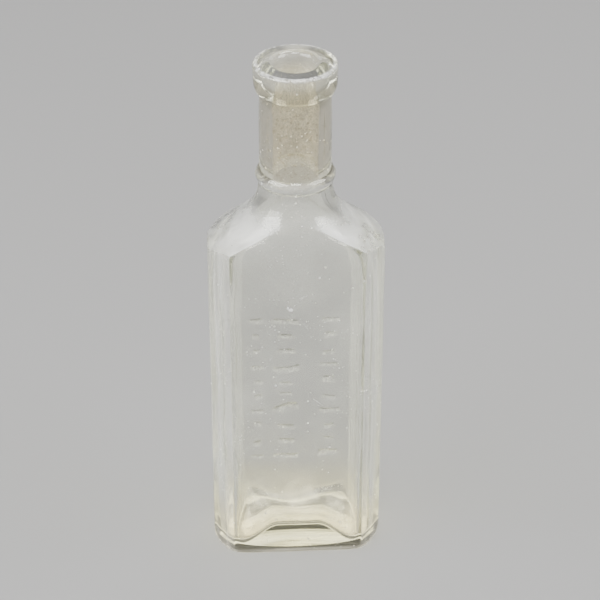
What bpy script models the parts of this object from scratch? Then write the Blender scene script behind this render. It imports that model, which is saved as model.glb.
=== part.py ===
"""Clear glass medicine bottle: one moulded piece of glass, open at the mouth.

Run with: blender --background --python part.py
Metres, +Z up. The origin is the centre of the base, at the surface that the bottle stands on.
The wide plain panel faces -Y, the wide panel with the raised dose marks faces +Y, and the narrow
sides face -X and +X.

The glass is one closed skin, drawn as a stack of rings. It starts in the middle of the underside,
goes up the outside, over the rim and down the bore, and ends in the middle of the cavity floor.
Sizes are in millimetres up to the point where the mesh is made.
"""

import math

import bmesh
import bpy
import numpy as np

MM = 0.001

# Driving dimensions.
HEIGHT = 152.0
BODY_WIDTH = 48.0
BODY_DEPTH = 24.5
CORNER_CUT = (5.6, 6.8)  # how much each corner bevel takes off the width and off the depth
WALL = 2.5
LIP_DIAMETER = 22.3
NECK_DIAMETER = 19.1
RING_DIAMETER = 21.4
MOUTH_BORE = 10.8
NECK_BORE = 12.4

# Features of the neck.
LIP_HEIGHT = 8.1
LIP_TAPER = 3.4  # height of the tapered part under the lip's straight band
LIP_FOOT = HEIGHT - LIP_HEIGHT
RIM_ROUND = 0.85
MOUTH_ROUND = 1.7
MOUTH_DEPTH = 6.2  # how far below the rim the narrow mouth reaches
BORE_FLARE = 7.0  # height over which the bore widens below it
NECK_FOOT = 117.4
RING_CENTRE = 119.45
RING_HALF = 1.95
MID_BODY = 45.0  # height of a ring on the straight part of the body

# The underside and the floor of the cavity.
HEEL_RADIUS = 1.0
HEEL_BLEND = 5.0  # height over which the body's edges grow rounder towards the heel
DISH = (18.8, 7.0)  # half length and half width of the shallow oval dish in the underside
DISH_DEPTH = 0.35
FLOOR_LOW = 1.6  # height of the cavity floor beside the narrow sides
FLOOR_ROUND = 3.4
# The floor in front: its height, and where along the width it starts and stops falling.
FRONT_HUMP = (8.0, 5.5, 16.5)
# The floor behind: its height in the middle and at the crests, where the crests are, and where they end.
BACK_HOLLOW = (4.4, 8.6, 14.5, 20.0)
FLOOR_TWIST = 6.5  # one turns into the other between this depth in front and behind

# Raised marks on the back panel: (place along the width, length of a long mark).
MARK_COLUMNS = ((-11.2, 5.2), (-2.4, 8.0), (10.4, 6.6))
MARK_RELIEF = 0.35
MARK_THICKNESS = 1.6
MARK_SPACING = 5.2
MARK_FIRST = 19.0
MARK_COUNT = 10
SHORT_MARK = 0.62  # length of a short mark as a share of a long one
MARKS_PER_LONG = 3

# How tightly the faces meet: a higher power gives a sharper edge.
MOULD_EDGE = 60
HEEL_EDGE = 16
INNER_EDGE = 11

# The shoulder's turned form, from where it stands outside the flat faces up to the foot of the neck.
# It is a little wider along the width, by SHOULDER_SPREAD of what it has grown from the neck.
SHOULDER_SPREAD = 0.1
OUTER_SHOULDER = ((30.0, 86.0), (26.2, 90.0), (25.0, 93.6), (24.2, 96.6), (22.8, 99.4), (20.0, 102.0),
                  (16.3, 105.0), (13.2, 108.3), (11.0, 111.7), (10.1, 114.6), (9.8, NECK_FOOT))
INNER_SHOULDER = ((40.0, 74.0), (29.0, 82.0), (24.0, 86.5), (22.4, 90.6), (21.2, 94.6), (19.6, 98.2),
                  (16.6, 101.4), (12.4, 104.9), (8.9, 108.6), (7.0, 112.4),
                  (NECK_BORE / 2 + 0.1, 116.0), (NECK_BORE / 2, 119.0))

# Where the rings lie on a shoulder, as shares of the way up to the arch and from the arch to the top.
BELOW_ARCH = (0.0, 0.4, 0.72, 0.88, 0.96)
ABOVE_ARCH = (0.0, 0.05, 0.13, 0.22, 0.33, 0.45, 0.57, 0.7, 0.84, 1.0)

# A quarter turn of ring points, in degrees, closer together at the corner bevels.
QUARTER = (0, 5, 9, 12, 14.5, 18.5, 23, 27.5, 31, 33.5, 36.5, 41, 48, 57, 68, 79, 90)


def smooth_step(value, start, stop):
    """0 before start, 1 after stop, and smooth between."""
    share = min(1.0, max(0.0, (value - start) / (stop - start)))
    return share * share * (3 - 2 * share)


def mould_edge(height):
    """How tightly the outer faces meet at a height."""
    return MOULD_EDGE * (HEEL_EDGE / MOULD_EDGE) ** (1 - smooth_step(height, 0, HEEL_BLEND))


def plan_faces(inset):
    """The eight upright faces of the body, moved in by inset, as (normal x, normal y, distance)."""
    half_width, half_depth = BODY_WIDTH / 2, BODY_DEPTH / 2
    cut_x, cut_y = CORNER_CUT
    slope = math.hypot(cut_x, cut_y)
    bevel_x, bevel_y = cut_y / slope, cut_x / slope
    bevel = half_width * bevel_x + (half_depth - cut_y) * bevel_y - inset
    sides = [(1, 0, half_width - inset), (-1, 0, half_width - inset)]
    panels = [(0, -1, half_depth - inset), (0, 1, half_depth - MARK_RELIEF - inset)]
    bevels = [(x * bevel_x, y * bevel_y, bevel) for x in (1, -1) for y in (1, -1)]
    return sides + panels + bevels


def soft_radius(faces, edge, angle, turned=math.inf):
    """Distance from the axis to the flat faces cut by a turned form, with every edge rounded."""
    total = (1 / turned) ** edge
    for normal_x, normal_y, distance in faces:
        facing = normal_x * math.cos(angle) + normal_y * math.sin(angle)
        total += (max(0.0, facing) / distance) ** edge
    return total ** (-1 / edge)


def ring_angles():
    """The angles of a ring's points, in radians."""
    turns = {(half + side * turn) % 360 for turn in QUARTER for half in (0, 180) for side in (1, -1)}
    return [math.radians(turn) for turn in sorted(turns)]


ANGLES = ring_angles()


def ring(radius, height):
    """A ring of points, from its radius at an angle, and its height at an angle, x and y."""
    points = []
    for angle in ANGLES:
        x, y = radius(angle) * math.cos(angle), radius(angle) * math.sin(angle)
        points.append((x, y, height(angle, x, y)))
    return points


def turned_ring(radius, height):
    """A level, round ring."""
    return ring(lambda angle: radius, lambda angle, x, y: height)


def flat_sided_ring(inset, edge, height):
    """A level ring round the flat-sided body."""
    faces = plan_faces(inset)
    return ring(lambda angle: soft_radius(faces, edge, angle), lambda angle, x, y: height)


def arc(centre, radius, start, end, steps):
    """Level rings along an arc in section. The centre is (distance from the axis, height)."""
    rings = []
    for turn in np.radians(np.linspace(start, end, steps + 1)):
        rings.append(turned_ring(centre[0] + radius * math.cos(turn), centre[1] + radius * math.sin(turn)))
    return rings


def smooth_curve(points, steps=8):
    """A Catmull-Rom curve through the points, as an array of points."""
    knots = np.array((points[0], *points, points[-1]))
    found = []
    for before, start, end, after in zip(knots, knots[1:], knots[2:], knots[3:]):
        for t in np.arange(steps) / steps:
            bend = (2 * before - 5 * start + 4 * end - after) * t ** 2
            twist = (3 * start - before - 3 * end + after) * t ** 3
            found.append((2 * start + (end - before) * t + bend + twist) / 2)
    return np.array([*found, points[-1]])


def shoulder(points, inset, edge):
    """Rings over a shoulder, from below up. One of them follows the arch where the faces meet the dome."""
    radii, heights = smooth_curve(points).T
    faces = plan_faces(inset)

    def height_at(angle, below, above):
        spread = 1 + SHOULDER_SPREAD * math.cos(angle) ** 2
        flat = radii[-1] + (soft_radius(faces, edge, angle) - radii[-1]) / spread
        arch = np.interp(-flat, -radii, heights)
        return heights[0] + (arch - heights[0]) * below + (heights[-1] - arch) * above

    def shoulder_ring(below, above):
        def radius(angle):
            turned = np.interp(height_at(angle, below, above), heights, radii)
            turned += SHOULDER_SPREAD * (turned - radii[-1]) * math.cos(angle) ** 2
            return soft_radius(faces, edge, angle, turned)
        return ring(radius, lambda angle, x, y: float(height_at(angle, below, above)))

    lower = [shoulder_ring(below, 0) for below in BELOW_ARCH]
    return lower + [shoulder_ring(1, above) for above in ABOVE_ARCH]


def underside():
    """The shallow oval dish, the flat ring that the bottle stands on, and the heel up to the sharp edges."""
    def oval(share):
        length, width = share * DISH[0], share * DISH[1]
        height = DISH_DEPTH * (1 - share ** 2)
        return ring(lambda angle: 1 / math.hypot(math.cos(angle) / length, math.sin(angle) / width),
                    lambda angle, x, y: height)

    rings = [oval(share) for share in (0.3, 0.6, 0.85, 1.0)]
    for turn in np.radians((0, 22.5, 45, 67.5, 90)):
        height = HEEL_RADIUS * (1 - math.cos(turn))
        rings.append(flat_sided_ring(HEEL_RADIUS * (1 - math.sin(turn)), mould_edge(height), height))
    for height in ((HEEL_RADIUS + HEEL_BLEND) / 2, HEEL_BLEND):
        rings.append(flat_sided_ring(0, mould_edge(height), height))
    return rings


def outer_neck():
    """The ring bead, the neck and the lip, up to the outer edge of the rim."""
    neck, lip = NECK_DIAMETER / 2, LIP_DIAMETER / 2
    proud = RING_DIAMETER / 2 - neck
    bead = (RING_HALF ** 2 + proud ** 2) / (2 * proud)
    spread = math.degrees(math.asin(RING_HALF / bead))
    rings = arc((neck + proud - bead, RING_CENTRE), bead, -spread, spread, 8)
    rings.append(turned_ring(neck, (RING_CENTRE + LIP_FOOT) / 2))
    for turn in np.radians((0, 15, 30, 45, 60, 75, 90)):
        radius = neck + (lip - neck) * math.sin(turn)
        rings.append(turned_ring(radius, LIP_FOOT + LIP_TAPER * (1 - math.cos(turn))))
    return rings + arc((lip - RIM_ROUND, HEIGHT - RIM_ROUND), RIM_ROUND, 0, 90, 4)


def bore():
    """The rounded mouth and the bore, which is narrowest inside the lip."""
    mouth, neck = MOUTH_BORE / 2, NECK_BORE / 2
    rings = arc((mouth + MOUTH_ROUND, HEIGHT - MOUTH_ROUND), MOUTH_ROUND, 90, 180, 6)
    for share in (0, 0.3, 0.7, 1):
        radius = mouth + (neck - mouth) * share * share * (3 - 2 * share)
        rings.append(turned_ring(radius, HEIGHT - MOUTH_DEPTH - BORE_FLARE * share))
    return rings


def floor_height(x, y):
    """Height of the cavity floor: a hump in front that falls steeply to both corners, and a hollow behind."""
    top, start, stop = FRONT_HUMP
    front = top + (FLOOR_LOW - top) * smooth_step(abs(x), start, stop)
    lowest, rim, crest, end = BACK_HOLLOW
    back = lowest + (rim - lowest) * smooth_step(abs(x), 0, crest)
    back += (FLOOR_LOW - rim) * smooth_step(abs(x), crest, end)
    return front + (back - front) * smooth_step(y, -FLOOR_TWIST, FLOOR_TWIST)


def cavity_floor():
    """The rounded foot of the cavity's walls, and the floor between them."""
    rings = []
    for turn in np.radians((90, 68, 45, 22, 0)):
        faces = plan_faces(WALL + FLOOR_ROUND * (1 - math.sin(turn)))
        lift = FLOOR_ROUND * (1 - math.cos(turn))
        rings.append(ring(lambda angle: soft_radius(faces, INNER_EDGE, angle),
                          lambda angle, x, y: floor_height(x, y) + lift))
    for share in (0.8, 0.6, 0.4, 0.2):
        rings.append(ring(lambda angle: share * soft_radius(faces, INNER_EDGE, angle),
                          lambda angle, x, y: floor_height(x, y)))
    return rings


def glass_rings():
    """Every ring of the skin in order."""
    outside = underside() + [flat_sided_ring(0, MOULD_EDGE, MID_BODY)]
    outside += shoulder(OUTER_SHOULDER, 0, MOULD_EDGE) + outer_neck()
    inside = bore() + shoulder(INNER_SHOULDER, WALL, INNER_EDGE)[::-1]
    return outside + inside + [flat_sided_ring(WALL, INNER_EDGE, MID_BODY)] + cavity_floor()


def new_object(name, mesh_maker):
    """An object in the scene from a bmesh in millimetres."""
    bmesh.ops.scale(mesh_maker, vec=(MM, MM, MM), verts=mesh_maker.verts)
    mesh = bpy.data.meshes.new(name)
    mesh_maker.to_mesh(mesh)
    mesh_maker.free()
    made = bpy.data.objects.new(name, mesh)
    bpy.context.scene.collection.objects.link(made)
    return made


def make_bottle(name):
    """The bottle without its raised marks: the rings joined into one skin, with a fan at each end."""
    maker = bmesh.new()
    loops = [[maker.verts.new(point) for point in points] for points in glass_rings()]
    ends = (maker.verts.new((0, 0, DISH_DEPTH)), maker.verts.new((0, 0, floor_height(0, 0))))
    for i, j in zip(range(len(ANGLES)), [*range(1, len(ANGLES)), 0]):
        for lower, upper in zip(loops, loops[1:]):
            maker.faces.new((lower[i], lower[j], upper[j], upper[i]))
        maker.faces.new((loops[0][j], loops[0][i], ends[0]))
        maker.faces.new((loops[-1][i], loops[-1][j], ends[1]))
    return new_object(name, maker)


def make_marks(name):
    """The raised marks, to be joined to the bottle: low bars, rooted in its wall, whose sides lean in."""
    maker = bmesh.new()
    root = BODY_DEPTH / 2 - MARK_RELIEF - WALL / 3
    top = BODY_DEPTH / 2
    for column, long_mark in MARK_COLUMNS:
        for row in range(MARK_COUNT):
            length = long_mark if row % MARKS_PER_LONG == 0 else long_mark * SHORT_MARK
            height = MARK_FIRST + row * MARK_SPACING
            bar = bmesh.ops.create_cube(maker, size=1)["verts"]
            for vert in bar:
                lean = MARK_RELIEF if vert.co.y > 0 else -MARK_RELIEF
                vert.co = (column + vert.co.x * (length - lean),
                           top if vert.co.y > 0 else root,
                           height + vert.co.z * (MARK_THICKNESS - lean))
    marks = new_object(name, maker)
    marks.hide_render = True
    marks.display_type = "WIRE"
    return marks


def clear_glass():
    """Nearly colourless old glass, faintly olive."""
    material = bpy.data.materials.new("clear_glass")
    material.use_nodes = True
    shader = material.node_tree.nodes["Principled BSDF"]
    shader.inputs["Base Color"].default_value = (0.90, 0.92, 0.86, 1)
    shader.inputs["Roughness"].default_value = 0.04
    shader.inputs["Metallic"].default_value = 0
    shader.inputs["IOR"].default_value = 1.52
    shader.inputs["Transmission Weight"].default_value = 1
    return material


def main():
    for old in list(bpy.data.objects):
        bpy.data.objects.remove(old)
    bottle = make_bottle("glass_bottle")
    union = bottle.modifiers.new("raised_marks", "BOOLEAN")
    union.operation = "UNION"
    union.object = make_marks("dose_marks")
    bottle.data.materials.append(clear_glass())
    bottle.data.shade_smooth()
    bottle.data.set_sharp_from_angle(angle=math.radians(32))


main()
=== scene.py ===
"""Looks of the clear glass medicine bottle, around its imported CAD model.

The CAD node is replaced by one fine mesh of the same glass: softly rounded mould edges, slightly wavy
walls, two mould seams, a hand-tooled lip and raised dose marks on the back panel. Sizes and heights are in
millimetres, and MM turns them to metres. Lamps, floor and camera are in metres.
"""

import math

import bmesh
import bpy
import numpy as np
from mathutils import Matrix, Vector


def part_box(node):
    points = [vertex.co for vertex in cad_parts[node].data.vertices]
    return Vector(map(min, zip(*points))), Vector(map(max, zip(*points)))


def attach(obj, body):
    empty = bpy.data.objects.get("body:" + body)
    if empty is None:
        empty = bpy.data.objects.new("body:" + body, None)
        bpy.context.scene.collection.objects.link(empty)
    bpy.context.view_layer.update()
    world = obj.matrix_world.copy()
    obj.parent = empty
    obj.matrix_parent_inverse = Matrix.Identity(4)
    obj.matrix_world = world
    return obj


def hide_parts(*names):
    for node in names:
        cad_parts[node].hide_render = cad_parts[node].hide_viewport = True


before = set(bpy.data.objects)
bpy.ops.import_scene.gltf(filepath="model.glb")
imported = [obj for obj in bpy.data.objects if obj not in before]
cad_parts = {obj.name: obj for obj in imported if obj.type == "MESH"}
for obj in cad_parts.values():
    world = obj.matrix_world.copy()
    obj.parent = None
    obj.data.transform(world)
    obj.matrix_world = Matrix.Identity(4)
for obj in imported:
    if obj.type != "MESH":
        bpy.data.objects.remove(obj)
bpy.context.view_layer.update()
NODE = "glass_bottle"
LOW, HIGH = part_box(NODE)
MM = 0.001

# The body. Its outer sizes come from the CAD node's box.
HEIGHT = (HIGH.z - LOW.z) / MM
HALF_WIDTH = (HIGH.x - LOW.x) / 2 / MM
HALF_DEPTH = (HIGH.y - LOW.y) / 2 / MM
CORNER_CUT = (5.6, 6.8)
WALL = 2.5

# The neck, lip and bore.
LIP = 22.3 / 2
NECK = 19.1 / 2
RING = 21.4 / 2
MOUTH = 10.8 / 2
BORE = 12.4 / 2
LIP_FOOT = HEIGHT - 8.1
LIP_TAPER = 3.4
RIM_ROUND = 0.85
MOUTH_ROUND = 1.7
MOUTH_DEPTH = 6.2
MOUTH_SHARE = 0.25
BORE_FLARE = 7.0
NECK_FOOT = 117.4
RING_CENTRE = 119.45
RING_HALF = 1.95

# The underside and the cavity floor. A hump is (height, half width of its top, half width of its foot), and
# a hollow is (lowest, height of its rim, half width to the rim, half width to the end).
HEEL = 1.0
HEEL_EDGE = 16
HEEL_BLEND = 5.0
DISH = (18.8, 7.0)
DISH_DEPTH = 0.35
FLOOR_LOW = 1.6
FLOOR_ROUND = 3.4
FRONT_HUMP = (8.0, 5.5, 16.5)
BACK_HOLLOW = (4.4, 8.6, 14.5, 20.0)
FLOOR_TWIST = 6.5
CAVITY_FOOT = 14

# Raised dose marks: columns as (middle, length of a long mark). They stand on the skin's points that are
# within NEAR_PANEL of the back panel.
MARK_COLUMNS = ((-11.2, 5.2), (-2.4, 8.0), (10.4, 6.6))
MARK_RELIEF = 0.35
MARK_SPACING = 5.2
MARK_FIRST = 19.0
MARK_COUNT = 10
SHORT_MARK = 0.62
MARKS_PER_LONG = 3
MARK_END = 0.5
MARK_CREST, MARK_FOOT = 0.3, 1.15
NEAR_PANEL = 0.3
MARK_RINGS = np.array((-1.15, -0.9, -0.6, -0.3, 0, 0.3, 0.6, 0.9, 1.15, 2.0))

# Shoulder profiles as (distance from the axis, height), and how tightly flat faces meet: more is sharper.
MOULD_EDGE = 90
INNER_EDGE = 11
OUTER_SHOULDER = ((30.0, 86.0), (26.2, 90.0), (25.0, 93.6), (24.2, 96.6), (22.8, 99.4), (20.0, 102.0),
                  (16.3, 105.0), (13.2, 108.3), (11.0, 111.7), (10.1, 114.6), (9.8, NECK_FOOT))
INNER_SHOULDER = ((40.0, 74.0), (29.0, 82.0), (24.0, 86.5), (22.4, 90.6), (21.2, 94.6), (19.6, 98.2),
                  (16.6, 101.4), (12.4, 104.9), (8.9, 108.6), (7.0, 112.4), (BORE + 0.1, 116.0),
                  (BORE, 119.0))
SHOULDER_SPREAD = 0.1
ARCH_CROWDING = (1.7, 1.35)

POINTS_PER_RING = 256
OUTLINE_STEPS = 7201
BEND_SHARE = 0.22
SHARP_ANGLE = 38
SEED = 7

# How many rings, or steps between rings, each stretch of the skin has.
DISH_RINGS = 10
HEEL_RINGS = 9
LOW_RINGS = 24
OUTER_SHOULDER_RINGS = (14, 34)
BEAD_STEPS = 16
NECK_RINGS = 18
TAPER_RINGS = 13
LIP_RINGS = 6
RIM_STEPS = 7
RIM_SHARES = (0.75, 0.5, 0.25)
MOUTH_STEPS = 10
FLARE_RINGS = 12
BORE_RINGS = 14
INNER_SHOULDER_RINGS = (14, 32)
WALL_RINGS = 26
FOOT_RINGS = 12
FLOOR_RINGS = 16

# What hand work leaves: heights of the waves with their shortest and longest lengths, and the mould seams.
BODY_WAVES, BODY_WAVE_LENGTHS = 0.045, (14, 40)
LIP_WAVES, LIP_WAVE_LENGTHS = 0.06, (9, 22)
INNER_WAVES, INNER_WAVE_LENGTHS = 0.16, (11, 34)
SEAM_HEIGHT, SEAM_HALF = 0.11, 0.28

# Where the waves and seams grow and die down, as pairs of heights, and how much the waves are calmed there.
BODY_START = (2, 8)
NECK_CALM, NECK_CALM_HEIGHTS = 0.7, (NECK_FOOT - 4, NECK_FOOT)
LIP_START = (LIP_FOOT - 1, LIP_FOOT + 2)
SEAM_END = (LIP_FOOT - 8, LIP_FOOT - 2)
MOUTH_CALM_HEIGHTS = (HEIGHT - 4, HEIGHT - 1)
BORE_CALM, BORE_CALM_HEIGHTS = 0.6, (104, 118)

# Where the rim and the heel are worn: pairs of heights, and of distances from the axis.
RIM_WEAR_HEIGHTS, RIM_WEAR_REACH = (HEIGHT - 1.2, HEIGHT - 0.2), (LIP - 1.6, LIP - 0.9)
HEEL_WEAR_HEIGHTS, HEEL_WEAR_REACH = (0.1, 1.6), (7, 11)
SEAM_WEAR = 0.5

# Damage in the front panel: a chip of two parts as ((x, height), size), and fine scratches as
# ((x, height), angle in degrees, length). They lie in the outermost layer.
FRONT_LAYER = 0.6
CHIPS = (((-1.9, 83.8), 0.55), ((-2.7, 84.4), 0.35))
SCRATCHES = (((-1.2, 84.8), 48, 3.9), ((0.4, 87.4), 22, 2.2), ((3.4, 76.0), 118, 4.6),
             ((-9.2, 64.5), 63, 5.0), ((7.0, 52.0), 140, 3.6), ((-6.0, 41.5), 20, 4.2))

# Heights of the films. Each grows between the first two, and fades between the last two if it has four.
# The settled zone's veil is partly dust and partly painted highlight: it is laid on thicker to paint the
# shoulder's soft highlight bands.
SETTLED_AND_SHEEN_ZONE = (80, 90, 108, 116)
SHOULDER_ZONE = (88, 100, 110, 118)
BORE_ZONE = (118.8, 121.5, 147, 150)
INSIDE_LIP = (141.5, 144.0)
OUTSIDE_LIP = (144.5, 147)

# Heights between which what lies below them fades out.
LOW_FILM_END = (4, 20)
FLOOR_FILM_END = (7, 16)
# Below the cream heights every film turns cream: a painted glow of the light inside the thick base.
CREAM_END = (8, 20)
FOOT_END = (0.9, 2.2)
# The side bloom is partly painted light: it makes the bevel faces lighter.
SIDE_BLOOM_AND_PAINTED_LIGHT_END = (100, 112)

# How far from its middle the bead's bloom and painted highlight fades, and where the bore's wall counts as
# front and as back.
BEAD_BLOOM_AND_SHEEN_END = (1.2, 2.2)
BACK_WALL = (-2, 3)

# How much the films and marks cover: one amount, or the least and the most.
DUST_COVER = 0.85
FINE_DUST_COVER = 0.8
# The settled veil's cover holds dust and also a painted highlight on the shoulder.
SETTLED_AND_SHEEN_COVER = (0.08, 0.35)
RUBBED_COVER = (0.12, 0.42)
SCRATCH_COVER = 0.5
# The side, bead and lip covers are partly bloom and partly painted light: lighter bevels, and painted
# highlights on the bead and the lip.
SIDE_BLOOM_AND_PAINTED_LIGHT = (0.09, 0.29)
BEAD_BLOOM_AND_SHEEN = (0.02, 0.18)
LIP_BLOOM_AND_SHEEN = 0.08
# The foot's cover is partly bloom and partly a painted glow of the thick base.
FOOT_BLOOM_AND_GLOW = (0.16, 0.58)
STREAK_FILM = (0.03, 0.15)
THICKER_FILM = 0.07
FLOOR_FILM = 0.24
GRAIN_FILM = (0.06, 0.62)
INSIDE_LIP_FILM = 0.3
FRONT_WALL_SHARE = 0.1

# How rough clear glass and covered glass are, and what the films add.
ROUGHNESS = (0.015, 0.515)
STREAK_ROUGHNESS = 0.03
SETTLED_ROUGHNESS = 0.13
SHOULDER_ROUGHNESS = 0.05

# Colours of the glass, and of the films and dirt on it.
CLEAR = (0.985, 0.985, 0.975, 1)
IN_SHADOW = (0.93, 0.93, 0.915, 1)
IN_DEPTH = (0.82, 0.84, 0.52, 1)
DEPTH_DENSITY = 24.0
GLASS_IOR = 1.52
PALE_FILM = (0.86, 0.86, 0.84, 1)
BORE_FILM = (0.74, 0.70, 0.60, 1)
BROWN_DIRT = (0.38, 0.31, 0.19, 1)
LIP_FILM = (0.68, 0.64, 0.50, 1)
# Painted glow: the cream that films take low on the bottle, standing in for the light inside the thick
# base.
CREAM_FILM_AND_GLOW = (0.93, 0.88, 0.70, 1)

# The floor: a flat disc that curves up into a low wall.
FLOOR_COLOUR = (0.19, 0.188, 0.185, 1)
FLOOR_ROUGHNESS = 0.7
FLAT_RADII = (0.3, 0.88, 0.9)
FLOOR_CURVE = 0.5
WALL_TOP = 0.9
TURN_STEP = 5

# Soft lamps as (name, place, width, height, power), and the light from all round.
LAMPS = (("left_window", (-0.85, -0.35, 0.95), 1.0, 1.0, 40),
         ("right_window", (0.85, -0.2, 0.9), 0.8, 0.8, 22),
         ("back_window", (0.1, 1.3, 1.15), 2.0, 0.9, 12),
         ("ceiling", (0.0, -0.4, 1.4), 0.45, 0.45, 13),
         ("skylight", (0.28, 0.5, 1.25), 0.35, 0.35, 6))
LAMP_AIM = (0, 0, 0.08)
SURROUNDING = (0.75, 0.77, 0.80, 1)
SURROUNDING_STRENGTH = 0.42

CAMERA_TURN = -3.0
CAMERA_PITCH = 32.5
CAMERA_DISTANCE = 0.6007
CAMERA_AIM = (0.0012, -0.0001, 0.0792)
CAMERA_LENS = 130.7


def smooth_step(value, start, stop):
    """0 before start, 1 after stop, and smooth between."""
    share = np.clip((value - start) / (stop - start), 0, 1)
    return share * share * (3 - 2 * share)


def mould_edge(height):
    """How tightly the outer faces meet at a height: rounder towards the heel."""
    return MOULD_EDGE * (HEEL_EDGE / MOULD_EDGE) ** (1 - smooth_step(height, 0, HEEL_BLEND))


def plan_faces(inset):
    """The eight upright faces of the body, moved in by inset, as (normal x, normal y, distance)."""
    cut_x, cut_y = CORNER_CUT
    slope = math.hypot(cut_x, cut_y)
    bevel_x, bevel_y = cut_y / slope, cut_x / slope
    bevel = HALF_WIDTH * bevel_x + (HALF_DEPTH - cut_y) * bevel_y - inset
    sides = [(1, 0, HALF_WIDTH - inset), (-1, 0, HALF_WIDTH - inset)]
    panels = [(0, -1, HALF_DEPTH - inset), (0, 1, HALF_DEPTH - MARK_RELIEF - inset)]
    bevels = [(x * bevel_x, y * bevel_y, bevel) for x in (1, -1) for y in (1, -1)]
    return sides + panels + bevels


def soft_radius(inset, edge, angles, turned=math.inf):
    """Distance from the axis to the flat faces cut by a turned form, with every edge rounded."""
    total = np.zeros(len(angles)) + (1 / turned) ** edge
    for normal_x, normal_y, distance in plan_faces(inset):
        facing = normal_x * np.cos(angles) + normal_y * np.sin(angles)
        total += (np.maximum(0, facing) / distance) ** edge
    return total ** (-1 / edge)


def ring_angles():
    """Angles round the bottle, spread evenly along its outline and closer together where it bends."""
    fine = np.linspace(0, 2 * math.pi, OUTLINE_STEPS)
    radius = soft_radius(0, MOULD_EDGE, fine)
    outline = np.stack((radius * np.cos(fine), radius * np.sin(fine)), axis=1)
    step = np.diff(outline, axis=0)
    length = np.hypot(*step.T)
    heading = np.unwrap(np.arctan2(step[:, 1], step[:, 0]))
    bend = np.abs(np.diff(heading, append=heading[0] + 2 * math.pi))
    weight = (1 - BEND_SHARE) * length / length.sum() + BEND_SHARE * bend / bend.sum()
    reached = np.concatenate(((0,), np.cumsum(weight)))
    return np.interp(np.arange(POINTS_PER_RING) / POINTS_PER_RING, reached, fine)


ANGLES = ring_angles()
ALONG, ACROSS = np.cos(ANGLES), np.sin(ANGLES)


def ring(radius, height):
    """A ring of points from a radius and a height, each a number or one value for every angle."""
    flat = np.zeros(len(ANGLES))
    return np.stack((radius * ALONG, radius * ACROSS, height + flat), axis=1)


def smooth_curve(points, steps=12):
    """A Catmull-Rom curve through the points."""
    knots = np.array((points[0], *points, points[-1]))
    found = []
    for before, start, end, after in zip(knots, knots[1:], knots[2:], knots[3:]):
        for t in np.arange(steps) / steps:
            bend = (2 * before - 5 * start + 4 * end - after) * t ** 2
            twist = (3 * start - before - 3 * end + after) * t ** 3
            found.append((2 * start + (end - before) * t + bend + twist) / 2)
    return np.array([*found, points[-1]])


def arc(centre, radius, start, end, steps):
    """Level rings along an arc in section. The centre is (distance from the axis, height)."""
    turns = np.radians(np.linspace(start, end, steps + 1))
    return [ring(centre[0] + radius * math.cos(t), centre[1] + radius * math.sin(t)) for t in turns]


def straight(radius, start, stop, count):
    """Rings of one radius between two heights, without the first and last."""
    return [ring(radius, height) for height in np.linspace(start, stop, count)[1:-1]]


def shoulder(points, inset, edge, counts):
    """Rings over a shoulder, from below up. One of them follows the arch where the faces meet the dome."""
    radii, heights = smooth_curve(points).T
    spread = 1 + SHOULDER_SPREAD * ALONG ** 2
    flat = radii[-1] + (soft_radius(inset, edge, ANGLES) - radii[-1]) / spread
    arch = np.interp(-flat, -radii, heights)
    crowd_below, crowd_above = ARCH_CROWDING
    below = 1 - (1 - np.linspace(0, 1, counts[0])) ** crowd_below
    above = np.linspace(0, 1, counts[1])[1:] ** crowd_above
    levels = [heights[0] + (arch - heights[0]) * share for share in below]
    levels += [arch + (heights[-1] - arch) * share for share in above]
    rings = []
    for height in levels:
        turned = np.interp(height, heights, radii)
        turned += SHOULDER_SPREAD * (turned - radii[-1]) * ALONG ** 2
        rings.append(ring(soft_radius(inset, edge, ANGLES, turned), height))
    return rings


def underside():
    """The shallow oval dish, the flat ring that the bottle stands on, and the rounded heel."""
    rings = []
    for share in np.linspace(1 / DISH_RINGS, 1, DISH_RINGS):
        oval = 1 / np.hypot(ALONG / (share * DISH[0]), ACROSS / (share * DISH[1]))
        rings.append(ring(oval, DISH_DEPTH * (1 - share ** 2)))
    for turn in np.radians(np.linspace(0, 90, HEEL_RINGS)):
        height = HEEL * (1 - math.cos(turn))
        radius = soft_radius(HEEL * (1 - math.sin(turn)), mould_edge(height), ANGLES)
        rings.append(ring(radius, height))
    return rings


def mark_heights():
    """The heights of the dose marks' centres."""
    return MARK_FIRST + MARK_SPACING * np.arange(MARK_COUNT)


def body():
    """The upright part of the outside, with rings where the dose marks need them."""
    heights = set(np.linspace(HEEL, MARK_FIRST, LOW_RINGS)[1:-1].round(3))
    for centre in mark_heights():
        heights |= set((centre + MARK_RINGS).round(3))
    heights = [height for height in sorted(heights) if height < OUTER_SHOULDER[0][1] - 0.5]
    return [ring(soft_radius(0, mould_edge(height), ANGLES), height) for height in heights]


def outer_neck():
    """The ring bead, the neck and the lip, up to the outer edge of the rim."""
    proud = RING - NECK
    bead = (RING_HALF ** 2 + proud ** 2) / (2 * proud)
    spread = math.degrees(math.asin(RING_HALF / bead))
    rings = arc((RING - bead, RING_CENTRE), bead, -spread, spread, BEAD_STEPS)
    rings += straight(NECK, RING_CENTRE + RING_HALF, LIP_FOOT, NECK_RINGS)
    for turn in np.radians(np.linspace(0, 90, TAPER_RINGS)):
        radius = NECK + (LIP - NECK) * math.sin(turn)
        rings.append(ring(radius, LIP_FOOT + LIP_TAPER * (1 - math.cos(turn))))
    rings += straight(LIP, LIP_FOOT + LIP_TAPER, HEIGHT - RIM_ROUND, LIP_RINGS)
    return rings + arc((LIP - RIM_ROUND, HEIGHT - RIM_ROUND), RIM_ROUND, 0, 90, RIM_STEPS)


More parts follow.
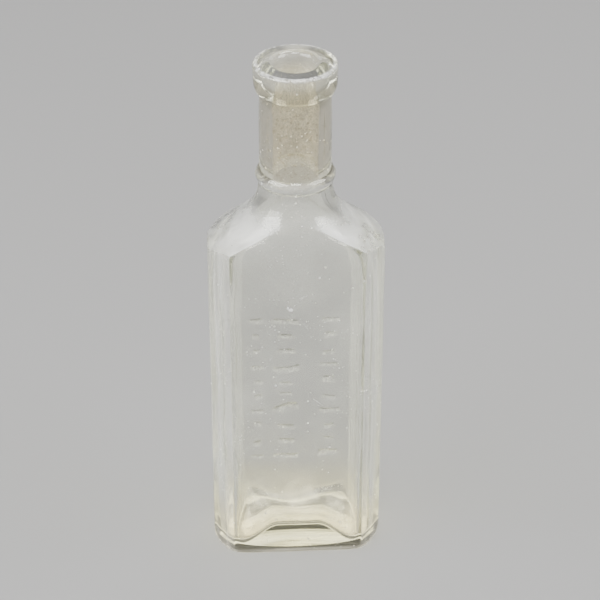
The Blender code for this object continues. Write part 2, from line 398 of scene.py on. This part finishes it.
def bore():
    """The flat rim, the rounded mouth and the bore, which is narrowest inside the lip."""
    edge = MOUTH + MOUTH_ROUND
    rings = [ring(edge + (LIP - RIM_ROUND - edge) * share, HEIGHT) for share in RIM_SHARES]
    rings += arc((edge, HEIGHT - MOUTH_ROUND), MOUTH_ROUND, 90, 180, MOUTH_STEPS)
    for share in np.linspace(0, 1, FLARE_RINGS)[1:]:
        depth = HEIGHT - MOUTH_ROUND + (MOUTH_ROUND - MOUTH_DEPTH) * min(1, share / MOUTH_SHARE)
        widening = max(0, share - MOUTH_SHARE) / (1 - MOUTH_SHARE)
        radius = MOUTH + (BORE - MOUTH) * smooth_step(widening, 0, 1)
        rings.append(ring(radius, depth - BORE_FLARE * widening))
    foot = HEIGHT - MOUTH_DEPTH - BORE_FLARE
    return rings + straight(BORE, foot, INNER_SHOULDER[-1][1], BORE_RINGS)


def floor_height(x, y):
    """Height of the cavity floor: a hump in front that falls to both corners, and a hollow behind."""
    top, start, stop = FRONT_HUMP
    front = top + (FLOOR_LOW - top) * smooth_step(np.abs(x), start, stop)
    lowest, rim, crest, end = BACK_HOLLOW
    back = lowest + (rim - lowest) * smooth_step(np.abs(x), 0, crest)
    back += (FLOOR_LOW - rim) * smooth_step(np.abs(x), crest, end)
    return front + (back - front) * smooth_step(y, -FLOOR_TWIST, FLOOR_TWIST)


def cavity():
    """The cavity's upright walls, their rounded foot and the floor."""
    radius = soft_radius(WALL, INNER_EDGE, ANGLES)
    heights = np.linspace(INNER_SHOULDER[0][1], CAVITY_FOOT, WALL_RINGS)[1:]
    rings = [ring(radius, height) for height in heights]
    for turn in np.radians(np.linspace(90, 0, FOOT_RINGS)):
        radius = soft_radius(WALL + FLOOR_ROUND * (1 - math.sin(turn)), INNER_EDGE, ANGLES)
        floor = floor_height(radius * ALONG, radius * ACROSS)
        rings.append(ring(radius, floor + FLOOR_ROUND * (1 - math.cos(turn))))
    for share in np.linspace(1, 0, FLOOR_RINGS)[1:-1]:
        rings.append(ring(radius * share, floor_height(radius * share * ALONG, radius * share * ACROSS)))
    return rings


def slow_waves(points, lengths, count=14):
    """A smooth value between about -1 and 1 at each point, made of long waves in random directions."""
    dice = np.random.default_rng(SEED + int(lengths[0] * 10))
    total = np.zeros(points.shape[:-1])
    for _ in range(count):
        way = dice.normal(size=3)
        way *= 2 * math.pi / (np.linalg.norm(way) * dice.uniform(*lengths))
        total += np.sin(points @ way + dice.uniform(0, 2 * math.pi))
    return total / math.sqrt(count)


def surface_normals(grid):
    """Outward normals of a grid of rings."""
    around = np.roll(grid, -1, axis=1) - np.roll(grid, 1, axis=1)
    up = np.gradient(grid, axis=0)
    normal = np.cross(around, up)
    return normal / np.maximum(np.linalg.norm(normal, axis=2, keepdims=True), 1e-9)


def mark_relief(x, z):
    """Height of the dose marks at points of the back panel."""
    relief = np.zeros(x.shape)
    for column, long_mark in MARK_COLUMNS:
        for row, centre in enumerate(mark_heights()):
            half = (long_mark if row % MARKS_PER_LONG == 0 else long_mark * SHORT_MARK) / 2
            across = 1 - smooth_step(np.abs(x - column), half - MARK_END, half + MARK_END)
            upright = 1 - smooth_step(np.abs(z - centre), MARK_CREST, MARK_FOOT)
            relief = np.maximum(relief, across * upright)
    return relief * MARK_RELIEF


def worn_places(x, y, z, raised):
    """How worn each point of the outside is: raised parts, the rim's edge and the heel."""
    rim = smooth_step(z, *RIM_WEAR_HEIGHTS) * smooth_step(np.hypot(x, y), *RIM_WEAR_REACH)
    heel = 1 - smooth_step(z, *HEEL_WEAR_HEIGHTS)
    heel *= smooth_step(np.abs(y) + np.abs(x) / 4, *HEEL_WEAR_REACH)
    return np.clip(raised + rim + heel, 0, 1)


def aged(outside, inside):
    """The two skins with what hand work leaves: waves, seams, an uneven lip, and the dose marks."""
    x, y, z = np.moveaxis(outside, 2, 0)
    on_body = smooth_step(z, *BODY_START)
    waves = BODY_WAVES * slow_waves(outside, BODY_WAVE_LENGTHS) * on_body
    waves *= 1 - NECK_CALM * smooth_step(z, *NECK_CALM_HEIGHTS)
    waves += LIP_WAVES * slow_waves(outside, LIP_WAVE_LENGTHS) * smooth_step(z, *LIP_START)
    seam = np.exp(-(y / SEAM_HALF) ** 2) * on_body * (1 - smooth_step(z, *SEAM_END))
    outside = outside + surface_normals(outside) * (waves + SEAM_HEIGHT * seam)[..., None]
    back = (y > 0) & (np.abs(y - (HALF_DEPTH - MARK_RELIEF)) < NEAR_PANEL)
    relief = np.where(back, mark_relief(x, z), 0)
    outside[..., 1] += relief
    worn = worn_places(x, y, z, relief / MARK_RELIEF + SEAM_WEAR * seam)
    waves = INNER_WAVES * slow_waves(inside, INNER_WAVE_LENGTHS)
    waves *= 1 - smooth_step(inside[..., 2], *MOUTH_CALM_HEIGHTS)
    waves *= 1 - BORE_CALM * smooth_step(inside[..., 2], *BORE_CALM_HEIGHTS)
    inside = inside + surface_normals(inside) * waves[..., None]
    return outside, inside, worn


def bottle_mesh(name):
    """The glass as one closed skin, from the middle of the underside to the middle of the cavity floor."""
    outer_shoulder = shoulder(OUTER_SHOULDER, 0, MOULD_EDGE, OUTER_SHOULDER_RINGS)
    inner_shoulder = shoulder(INNER_SHOULDER, WALL, INNER_EDGE, INNER_SHOULDER_RINGS)[::-1]
    outside = np.array(underside() + body() + outer_shoulder + outer_neck())
    inside = np.array(bore() + inner_shoulder + cavity())
    outside, inside, worn = aged(outside, inside)
    grid = np.concatenate((outside, inside))
    maker = bmesh.new()
    loops = [[maker.verts.new(point * MM) for point in row] for row in grid]
    ends = [maker.verts.new(row.mean(axis=0) * MM) for row in (grid[0], grid[-1])]
    for i in range(POINTS_PER_RING):
        j = (i + 1) % POINTS_PER_RING
        for lower, upper in zip(loops, loops[1:]):
            maker.faces.new((lower[i], lower[j], upper[j], upper[i]))
        maker.faces.new((loops[0][j], loops[0][i], ends[0]))
        maker.faces.new((loops[-1][i], loops[-1][j], ends[1]))
    mesh = bpy.data.meshes.new(name)
    maker.to_mesh(mesh)
    maker.free()
    mesh.shade_smooth()
    mesh.set_sharp_from_angle(angle=math.radians(SHARP_ANGLE))
    points_inside = inside[..., 0].size
    marked = {"worn": np.concatenate((worn.ravel(), np.zeros(points_inside + 2))),
              "inner": np.concatenate((np.zeros(worn.size), np.ones(points_inside), (0, 1)))}
    for kind, values in marked.items():
        mesh.attributes.new(kind, "FLOAT", "POINT").data.foreach_set("value", values.astype(np.float32))
    return mesh


class Nodes:
    """A material's nodes, with short calls that add and link them."""

    def __init__(self, name):
        self.material = bpy.data.materials.new(name)
        self.material.use_nodes = True
        self.tree = self.material.node_tree
        self.tree.nodes.clear()

    def add(self, kind, settings=None, **inputs):
        """A node of that kind. Its inputs are values or other nodes' outputs.

        They go by socket name, with _ for a space, or by place: i0 is the first input."""
        node = self.tree.nodes.new(kind)
        for key, value in (settings or {}).items():
            setattr(node, key, value)
        for key, value in inputs.items():
            by_place = key[0] == "i" and key[1:].isdigit()
            socket = node.inputs[int(key[1:]) if by_place else key.replace("_", " ")]
            if isinstance(value, bpy.types.NodeSocket):
                self.tree.links.new(value, socket)
            else:
                socket.default_value = value
        return node

    def math(self, operation, first, second=0.0, third=0.0):
        """A Math node's result."""
        node = self.add("ShaderNodeMath", {"operation": operation}, i0=first, i1=second, i2=third)
        return node.outputs[0]

    def join(self, operation, values):
        """The values joined by a Math operation, two at a time."""
        result = values[0]
        for value in values[1:]:
            result = self.math(operation, result, value)
        return result

    def both(self, *values):
        """The product of masks: where all of them are."""
        return self.join("MULTIPLY", values)

    def most(self, *values):
        """The greatest of the values."""
        return self.join("MAXIMUM", values)

    def total(self, *values):
        """The sum of the values."""
        return self.join("ADD", values)

    def less(self, first, second):
        """The first value less the second."""
        return self.math("SUBTRACT", first, second)

    def between(self, mask, low, high):
        """From low where the mask is 0 to high where it's 1."""
        return self.math("MULTIPLY_ADD", mask, high - low, low)

    def step(self, value, start, stop):
        """0 where value is before start, 1 after stop, and smooth between."""
        settings = {"interpolation_type": "SMOOTHSTEP", "clamp": True}
        ramp = self.add("ShaderNodeMapRange", settings, i0=value, i1=start, i2=stop, i3=0.0, i4=1.0)
        return ramp.outputs[0]

    def blend(self, mask, first, second):
        """A colour from first where the mask is 0 to second where it's 1."""
        return self.add("ShaderNodeMix", {"data_type": "RGBA"}, i0=mask, i6=first, i7=second).outputs[2]


class GlassNodes(Nodes):
    """The glass's nodes, with the places that its films and marks are told apart by."""

    def __init__(self, name):
        super().__init__(name)
        self.place = self.add("ShaderNodeTexCoord").outputs["Object"]
        self.x, self.y, self.height = self.add("ShaderNodeSeparateXYZ", Vector=self.place).outputs
        self.inner = self.add("ShaderNodeAttribute", {"attribute_name": "inner"}).outputs["Fac"]
        self.worn = self.add("ShaderNodeAttribute", {"attribute_name": "worn"}).outputs["Fac"]
        self.outer = self.less(1.0, self.inner)
        normal = self.add("ShaderNodeNewGeometry").outputs["Normal"]
        self.facing_side, _, self.facing_up = self.add("ShaderNodeSeparateXYZ", Vector=normal).outputs

    def noise(self, scale, detail=3.0, rough=0.55, stretch=None):
        """Noise, stretched where that is given."""
        place = self.place
        if stretch:
            place = self.add("ShaderNodeMapping", Vector=place, Scale=stretch).outputs[0]
        texture = self.add("ShaderNodeTexNoise", Vector=place, Scale=scale, Detail=detail, Roughness=rough)
        return texture.outputs["Fac"]

    def patches(self, start, stop, **pattern):
        """Patches where the noise is above start, full where it's above stop."""
        return self.step(self.noise(**pattern), start, stop)

    def specks(self, scale, size):
        """Scattered specks of random sizes, few of them large."""
        cells = self.add("ShaderNodeTexVoronoi", {"feature": "F1"}, Vector=self.place, Scale=scale)
        chance = self.add("ShaderNodeSeparateXYZ", Vector=cells.outputs["Color"]).outputs["X"]
        radius = self.both(self.math("POWER", chance, 2.0), size)
        return self.step(self.less(radius, cells.outputs["Distance"]), 0.0, size * 0.3)

    def above(self, start, stop):
        """0 below the height start, 1 above stop."""
        return self.step(self.height, start * MM, stop * MM)

    def below(self, start, stop):
        """1 below the height start, 0 above stop."""
        return self.less(1.0, self.above(start, stop))

    def zone(self, start, full, fading, stop):
        """1 between two heights, with soft ends."""
        return self.both(self.above(start, full), self.below(fading, stop))

    def bruise(self, spot, size):
        """A ragged round mark at (x, height)."""
        across = self.less(self.x, spot[0] * MM)
        up = self.less(self.height, spot[1] * MM)
        far = self.math("SQRT", self.total(self.both(across, across), self.both(up, up)))
        far = self.math("MULTIPLY_ADD", self.noise(1700.0, 2.0), 0.7 * MM, far)
        return self.less(1.0, self.step(far, (size + 0.2) * MM, (size + 0.45) * MM))

    def scratch(self, start, turn, length):
        """A thin uneven line from (x, height), turned by an angle in degrees."""
        across = self.less(self.x, start[0] * MM)
        up = self.less(self.height, start[1] * MM)
        way = (math.cos(math.radians(turn)), math.sin(math.radians(turn)))
        along = self.math("MULTIPLY_ADD", across, way[0], self.both(up, way[1]))
        aside = self.math("ABSOLUTE", self.math("MULTIPLY_ADD", across, -way[1], self.both(up, way[0])))
        aside = self.math("MULTIPLY_ADD", self.noise(400.0, 2.0), 0.3 * MM, aside)
        thin = self.less(1.0, self.step(aside, 0.16 * MM, 0.24 * MM))
        started = self.math("GREATER_THAN", along, 0.0)
        return self.both(thin, started, self.math("LESS_THAN", along, length * MM))


def loose_dust(nodes):
    """Specks all over, and smaller specks and fine dust in patches."""
    patchy = nodes.patches(0.42, 0.66, scale=45.0, detail=2.0)
    fine = nodes.patches(0.68, 0.74, scale=2300.0, detail=2.0, rough=0.6)
    fine = nodes.both(fine, patchy, FINE_DUST_COVER)
    return nodes.most(nodes.specks(330.0, 0.13), nodes.both(nodes.specks(800.0, 0.2), patchy), fine)


def front_damage(nodes):
    """The chip and the scratches in the front panel."""
    on_front = nodes.both(nodes.outer, nodes.math("LESS_THAN", nodes.y, (FRONT_LAYER - HALF_DEPTH) * MM))
    chips = [nodes.bruise(*chip) for chip in CHIPS]
    lines = [nodes.both(nodes.scratch(*line), SCRATCH_COVER) for line in SCRATCHES]
    return nodes.both(on_front, nodes.most(*chips, *lines))


def bloom_and_painted_light(nodes):
    """A thin milky film outside, partly painted light: in runs down the sides, where it paints the bevels
    lighter, on the ring bead and the lip as painted highlights, and on the foot as a painted glow.
    """
    # Faces turned sideways get more film, which paints the bevels lighter.
    sides = nodes.step(nodes.math("ABSOLUTE", nodes.facing_side), 0.15, 0.6)
    sides = nodes.both(sides, nodes.below(*SIDE_BLOOM_AND_PAINTED_LIGHT_END))
    runs = nodes.patches(0.35, 0.7, scale=700.0, rough=0.5, stretch=(1.0, 1.0, 0.06))
    # Bloom on the ring bead, which also paints its highlight.
    from_bead = nodes.math("ABSOLUTE", nodes.less(nodes.height, RING_CENTRE * MM))
    bead = nodes.less(1.0, nodes.step(from_bead, *(end * MM for end in BEAD_BLOOM_AND_SHEEN_END)))
    ripples = nodes.patches(0.32, 0.66, scale=420.0, rough=0.5, stretch=(0.12, 1.0, 1.0))
    film = nodes.total(nodes.both(sides, nodes.between(runs, *SIDE_BLOOM_AND_PAINTED_LIGHT)),
                       nodes.between(bead, *BEAD_BLOOM_AND_SHEEN),
                       nodes.both(nodes.above(*OUTSIDE_LIP), LIP_BLOOM_AND_SHEEN),
                       nodes.both(nodes.below(*FOOT_END), nodes.between(ripples, *FOOT_BLOOM_AND_GLOW)))
    return nodes.both(nodes.outer, film)


def inner_film(nodes, streaks, shoulders, in_bore, in_lip):
    """The film inside: streaks everywhere, more of it on the floor and shoulder, and grains in the bore."""
    floor = nodes.both(nodes.below(*FLOOR_FILM_END), nodes.patches(0.3, 0.66, scale=170.0, detail=4.0))
    film = nodes.total(nodes.between(streaks, *STREAK_FILM),
                       nodes.both(nodes.total(nodes.below(*LOW_FILM_END), shoulders), THICKER_FILM),
                       nodes.both(floor, FLOOR_FILM))
    behind = nodes.step(nodes.y, *(depth * MM for depth in BACK_WALL))
    back_wall = nodes.between(behind, FRONT_WALL_SHARE, 1.0)
    grains = nodes.patches(0.50, 0.60, scale=3000.0, rough=0.7)
    grains = nodes.both(grains, nodes.patches(0.3, 0.62, scale=240.0))
    grains = nodes.total(nodes.between(grains, *GRAIN_FILM), nodes.both(in_lip, INSIDE_LIP_FILM))
    facing_air = nodes.less(1.0, nodes.add("ShaderNodeFresnel", IOR=GLASS_IOR).outputs[0])
    return nodes.both(nodes.inner, facing_air, nodes.total(film, nodes.both(in_bore, back_wall, grains)))


def film_colour(nodes, mask, in_bore, in_lip):
    """Clear glass where nothing covers it, and the colour of the film or dirt where something does. Low
    down the films turn cream, a painted glow of the thick base.
    """
    brown = nodes.both(in_bore, nodes.patches(0.57, 0.66, scale=1300.0, rough=0.6))
    film = nodes.blend(in_bore, PALE_FILM, BORE_FILM)
    film = nodes.blend(brown, film, BROWN_DIRT)
    film = nodes.blend(nodes.both(in_lip, in_bore), film, LIP_FILM)
    # Painted glow: films low on the bottle turn cream, standing in for the light inside the thick base.
    film = nodes.blend(nodes.below(*CREAM_END), film, CREAM_FILM_AND_GLOW)
    return nodes.blend(nodes.step(mask, 0.0, 0.02), CLEAR, film)


def glass(name):
    """Old clear glass: faintly olive in its depth, dusty, worn where it stands proud, and filmed inside.
    Some films also paint light: highlights on the shoulder, bead and lip, lighter bevels, and a cream glow
    low down.
    """
    nodes = GlassNodes(name)
    dust = loose_dust(nodes)
    # Dust settled on the shoulder's upward faces, made paler and thicker so that it also paints the
    # shoulder's soft highlight bands.
    settled_and_sheen = nodes.both(nodes.step(nodes.facing_up, 0.2, 0.75), nodes.outer, nodes.zone(*SETTLED_AND_SHEEN_ZONE))
    veil_and_sheen = nodes.patches(0.35, 0.7, scale=110.0, detail=4.0, rough=0.65)
    veil_and_sheen = nodes.both(settled_and_sheen, nodes.between(veil_and_sheen, *SETTLED_AND_SHEEN_COVER))
    rubbed = nodes.patches(0.4, 0.6, scale=900.0, detail=4.0, rough=0.7)
    rubbed = nodes.both(nodes.worn, nodes.between(rubbed, *RUBBED_COVER))
    # The marks hold real damage, wear and bloom, and also the painted highlights, lighter bevels and glow
    # of the veil and the bloom.
    marks = nodes.most(front_damage(nodes), veil_and_sheen, rubbed, bloom_and_painted_light(nodes))

    streaks = nodes.patches(0.38, 0.72, scale=38.0, detail=4.0, rough=0.6)
    shoulders = nodes.zone(*SHOULDER_ZONE)
    in_bore = nodes.zone(*BORE_ZONE)
    in_lip = nodes.above(*INSIDE_LIP)
    haze = inner_film(nodes, streaks, shoulders, in_bore, in_lip)
    mask = nodes.most(nodes.both(dust, DUST_COVER), haze, marks)

    rough = nodes.total(nodes.between(nodes.most(dust, marks), *ROUGHNESS),
                        nodes.both(streaks, STREAK_ROUGHNESS),
                        nodes.both(settled_and_sheen, SETTLED_ROUGHNESS),
                        nodes.both(nodes.outer, shoulders, SHOULDER_ROUGHNESS))
    bump = nodes.add("ShaderNodeBump", Strength=0.25, Distance=0.08 * MM, Height=nodes.noise(260.0, 4.0))
    shader = nodes.add("ShaderNodeBsdfPrincipled", Base_Color=film_colour(nodes, mask, in_bore, in_lip),
                       Roughness=rough, IOR=GLASS_IOR, Normal=bump.outputs["Normal"],
                       Transmission_Weight=nodes.less(1.0, mask))
    clear = nodes.add("ShaderNodeBsdfTransparent", Color=IN_SHADOW)
    lamp_ray = nodes.add("ShaderNodeLightPath").outputs["Is Shadow Ray"]
    surface = nodes.add("ShaderNodeMixShader", i0=lamp_ray, i1=shader.outputs[0], i2=clear.outputs[0])
    depth = nodes.add("ShaderNodeVolumeAbsorption", Color=IN_DEPTH, Density=DEPTH_DENSITY)
    nodes.add("ShaderNodeOutputMaterial", Surface=surface.outputs[0], Volume=depth.outputs[0])
    return nodes.material


def make_bottle():
    """The bottle's glass, in place of the CAD node."""
    bottle = bpy.data.objects.new("bottle_glass", bottle_mesh("bottle_glass"))
    bpy.context.scene.collection.objects.link(bottle)
    bottle.data.materials.append(glass("old_clear_glass"))
    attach(bottle, "root")
    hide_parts(NODE)


def plain_material(name, colour, roughness):
    """A matt material for the floor."""
    nodes = Nodes(name)
    shader = nodes.add("ShaderNodeBsdfPrincipled", Base_Color=colour, Roughness=roughness)
    nodes.add("ShaderNodeOutputMaterial", Surface=shader.outputs[0])
    return nodes.material


def make_stage():
    """A pale floor that curves up into a low wall all round."""
    edge = FLAT_RADII[-1]
    outline = [(radius, 0.0) for radius in FLAT_RADII]
    outline += [(edge + FLOOR_CURVE * math.sin(t), FLOOR_CURVE * (1 - math.cos(t)))
                for t in np.radians(np.arange(TURN_STEP, 90 + TURN_STEP, TURN_STEP))]
    outline.append((edge + FLOOR_CURVE, WALL_TOP))
    maker = bmesh.new()
    turns = np.radians(np.arange(0, 360, TURN_STEP))
    loops = [[maker.verts.new((r * math.cos(t), r * math.sin(t), h)) for t in turns] for r, h in outline]
    maker.faces.new(loops[0])
    for lower, upper in zip(loops, loops[1:]):
        for i in range(len(turns)):
            j = (i + 1) % len(turns)
            maker.faces.new((lower[j], lower[i], upper[i], upper[j]))
    mesh = bpy.data.meshes.new("floor")
    maker.to_mesh(mesh)
    maker.free()
    mesh.shade_smooth()
    stage = bpy.data.objects.new("floor", mesh)
    bpy.context.scene.collection.objects.link(stage)
    stage.data.materials.append(plain_material("pale_floor", FLOOR_COLOUR, FLOOR_ROUGHNESS))


def softbox(name, place, width, height, power):
    """A soft lamp at a place, turned towards the bottle."""
    lamp = bpy.data.lights.new(name, "AREA")
    lamp.shape = "RECTANGLE"
    lamp.size, lamp.size_y = width, height
    lamp.energy = power
    box = bpy.data.objects.new(name, lamp)
    box.location = place
    box.rotation_euler = (Vector(LAMP_AIM) - Vector(place)).to_track_quat("-Z", "Y").to_euler()
    bpy.context.scene.collection.objects.link(box)


def make_light():
    """The soft lamps and a grey surrounding."""
    for lamp in LAMPS:
        softbox(*lamp)
    world = bpy.data.worlds.new("studio")
    world.use_nodes = True
    world.node_tree.nodes["Background"].inputs["Color"].default_value = SURROUNDING
    world.node_tree.nodes["Background"].inputs["Strength"].default_value = SURROUNDING_STRENGTH
    bpy.context.scene.world = world


def make_camera():
    """The camera, at the height and distance that the bottle is looked at from."""
    turn, pitch = math.radians(CAMERA_TURN), math.radians(CAMERA_PITCH)
    back = Vector((math.sin(turn) * math.cos(pitch), -math.cos(turn) * math.cos(pitch), math.sin(pitch)))
    camera = bpy.data.objects.new("camera", bpy.data.cameras.new("camera"))
    camera.data.lens = CAMERA_LENS
    camera.data.sensor_width = 36
    camera.data.clip_start = 0.01
    camera.location = Vector(CAMERA_AIM) + back * CAMERA_DISTANCE
    camera.rotation_euler = (-back).to_track_quat("-Z", "Y").to_euler()
    bpy.context.scene.collection.objects.link(camera)
    bpy.context.scene.camera = camera


make_camera()
make_bottle()
make_stage()
make_light()
